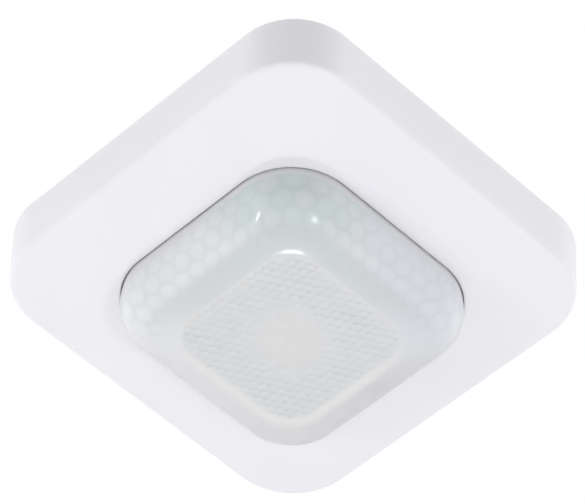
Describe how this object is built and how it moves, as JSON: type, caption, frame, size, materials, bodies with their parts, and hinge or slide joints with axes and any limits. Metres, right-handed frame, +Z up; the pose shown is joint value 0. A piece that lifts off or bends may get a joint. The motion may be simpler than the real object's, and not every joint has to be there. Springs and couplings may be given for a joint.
{
  "type": "motion sensor",
  "caption": "Square ceiling motion sensor: push-fit cover and faceted bowl lens over a plug-in sensor head, with a round power unit above for a flush box.",
  "frame": {"origin": "middle of the ceiling plane, on which the mounting plate lies", "axes": "+Z up into the ceiling, so the lens looks along -Z; X and Y along the cover's square sides, with the two box screws on X"},
  "size_m": [0.12, 0.12, 0.0797],
  "materials": {
    "cover_plastic": "smooth injection-moulded white plastic with a fine satin surface",
    "lens_plastic": "thin milky translucent polyethylene, glossy outside, lenslets moulded inside",
    "power_plastic": "light grey moulded plastic",
    "module_plastic": "white moulded plastic",
    "black_plastic": "black moulded plastic",
    "blue_plastic": "blue moulded plastic",
    "yellow_film": "yellow tape and film",
    "orange_plastic": "orange moulded plastic",
    "grey_plastic": "dark grey moulded plastic",
    "white_plastic": "white moulded plastic",
    "clear_plastic": "clear moulded plastic",
    "infrared_filter": "dark glossy infrared filter",
    "circuit_board": "green solder mask",
    "steel": "zinc plated steel",
    "nickel_can": "bright nickel plated steel",
    "copper_strip": "tinned copper alloy strip"
  },
  "bodies": {
    "ceiling_mount": {"mounting_plate": "power_plastic", "box_screw_1": "steel", "box_screw_2": "steel", "power_case": "power_plastic", "power_lid": "power_plastic", "power_board": "circuit_board", "power_socket": "black_plastic", "relay": "blue_plastic", "transformer": "yellow_film", "bulk_capacitor": "black_plastic", "filter_capacitor": "yellow_film", "varistor": "orange_plastic", "terminal_block": "power_plastic", "terminal_clamp_1": "copper_strip", "terminal_clamp_2": "copper_strip", "terminal_clamp_3": "copper_strip", "terminal_clamp_4": "copper_strip"},
    "terminal_release_1": {"release_button_1": "orange_plastic"},
    "terminal_release_2": {"release_button_2": "orange_plastic"},
    "terminal_release_3": {"release_button_3": "orange_plastic"},
    "terminal_release_4": {"release_button_4": "orange_plastic"},
    "sensor_head": {"module_base": "module_plastic", "module_front": "module_plastic", "sensor_board": "circuit_board", "board_screw_1": "steel", "board_screw_2": "steel", "board_plug": "black_plastic", "pyro_carrier": "module_plastic", "pyro_can_1": "nickel_can", "pyro_can_2": "nickel_can", "pyro_can_3": "nickel_can", "pyro_can_4": "nickel_can", "pyro_window_1": "infrared_filter", "pyro_window_2": "infrared_filter", "pyro_window_3": "infrared_filter", "pyro_window_4": "infrared_filter", "light_guide": "clear_plastic", "light_sensor": "black_plastic", "status_led": "clear_plastic", "controller_chip": "black_plastic", "ir_receiver": "infrared_filter", "light_trimmer": "blue_plastic", "time_trimmer": "blue_plastic", "dip_housing": "blue_plastic", "button_base": "black_plastic"},
    "light_knob": {"light_dial": "grey_plastic"},
    "time_knob": {"time_dial": "grey_plastic"},
    "dip_switch_1": {"dip_slider_1": "white_plastic"},
    "dip_switch_2": {"dip_slider_2": "white_plastic"},
    "dip_switch_3": {"dip_slider_3": "white_plastic"},
    "dip_switch_4": {"dip_slider_4": "white_plastic"},
    "push_button": {"program_button": "grey_plastic"},
    "shutter_1": {"range_shutter_1": "black_plastic"},
    "shutter_2": {"range_shutter_2": "black_plastic"},
    "shutter_3": {"range_shutter_3": "black_plastic"},
    "shutter_4": {"range_shutter_4": "black_plastic"},
    "lens_unit": {"lens": "lens_plastic"},
    "cover": {"cover_frame": "cover_plastic"}
  },
  "joints": [
    {"name": "release_press_1", "type": "slide", "parent": "ceiling_mount", "child": "terminal_release_1", "axis": [0, 0, -1], "range_m": [0, 0.002], "stiffness_N_per_m": 200},
    {"name": "release_press_2", "type": "slide", "parent": "ceiling_mount", "child": "terminal_release_2", "axis": [0, 0, -1], "range_m": [0, 0.002], "stiffness_N_per_m": 200},
    {"name": "release_press_3", "type": "slide", "parent": "ceiling_mount", "child": "terminal_release_3", "axis": [0, 0, -1], "range_m": [0, 0.002], "stiffness_N_per_m": 200},
    {"name": "release_press_4", "type": "slide", "parent": "ceiling_mount", "child": "terminal_release_4", "axis": [0, 0, -1], "range_m": [0, 0.002], "stiffness_N_per_m": 200},
    {"name": "head_release", "type": "slide", "parent": "ceiling_mount", "child": "sensor_head", "axis": [0, 0, -1], "range_m": [0, 0.045]},
    {"name": "light_dial_turn", "type": "hinge", "parent": "sensor_head", "child": "light_knob", "pos_m": [-0.02, 0.0465, -0.0172], "axis": [0, 0, 1], "range_deg": [-135, 135]},
    {"name": "time_dial_turn", "type": "hinge", "parent": "sensor_head", "child": "time_knob", "pos_m": [0.02, 0.0465, -0.0172], "axis": [0, 0, 1], "range_deg": [-135, 135]},
    {"name": "dip_slide_1", "type": "slide", "parent": "sensor_head", "child": "dip_switch_1", "axis": [0, 1, 0], "range_m": [0, 0.0016]},
    {"name": "dip_slide_2", "type": "slide", "parent": "sensor_head", "child": "dip_switch_2", "axis": [0, 1, 0], "range_m": [0, 0.0016]},
    {"name": "dip_slide_3", "type": "slide", "parent": "sensor_head", "child": "dip_switch_3", "axis": [0, 1, 0], "range_m": [0, 0.0016]},
    {"name": "dip_slide_4", "type": "slide", "parent": "sensor_head", "child": "dip_switch_4", "axis": [0, 1, 0], "range_m": [0, 0.0016]},
    {"name": "program_press", "type": "slide", "parent": "sensor_head", "child": "push_button", "axis": [0, 0, 1], "range_m": [0, 0.0006], "stiffness_N_per_m": 150},
    {"name": "shutter_slide_1", "type": "slide", "parent": "sensor_head", "child": "shutter_1", "axis": [-0.7071, 0, -0.7071], "range_m": [0, 0.004]},
    {"name": "shutter_slide_2", "type": "slide", "parent": "sensor_head", "child": "shutter_2", "axis": [0, -0.7071, -0.7071], "range_m": [0, 0.004]},
    {"name": "shutter_slide_3", "type": "slide", "parent": "sensor_head", "child": "shutter_3", "axis": [0.7071, 0, -0.7071], "range_m": [0, 0.004]},
    {"name": "shutter_slide_4", "type": "slide", "parent": "sensor_head", "child": "shutter_4", "axis": [0, 0.7071, -0.7071], "range_m": [0, 0.004]},
    {"name": "lens_release", "type": "slide", "parent": "sensor_head", "child": "lens_unit", "axis": [0, 0, -1], "range_m": [0, 0.028]},
    {"name": "cover_release", "type": "slide", "parent": "sensor_head", "child": "cover", "axis": [0, 0, -1], "range_m": [0, 0.04]}
  ]
}
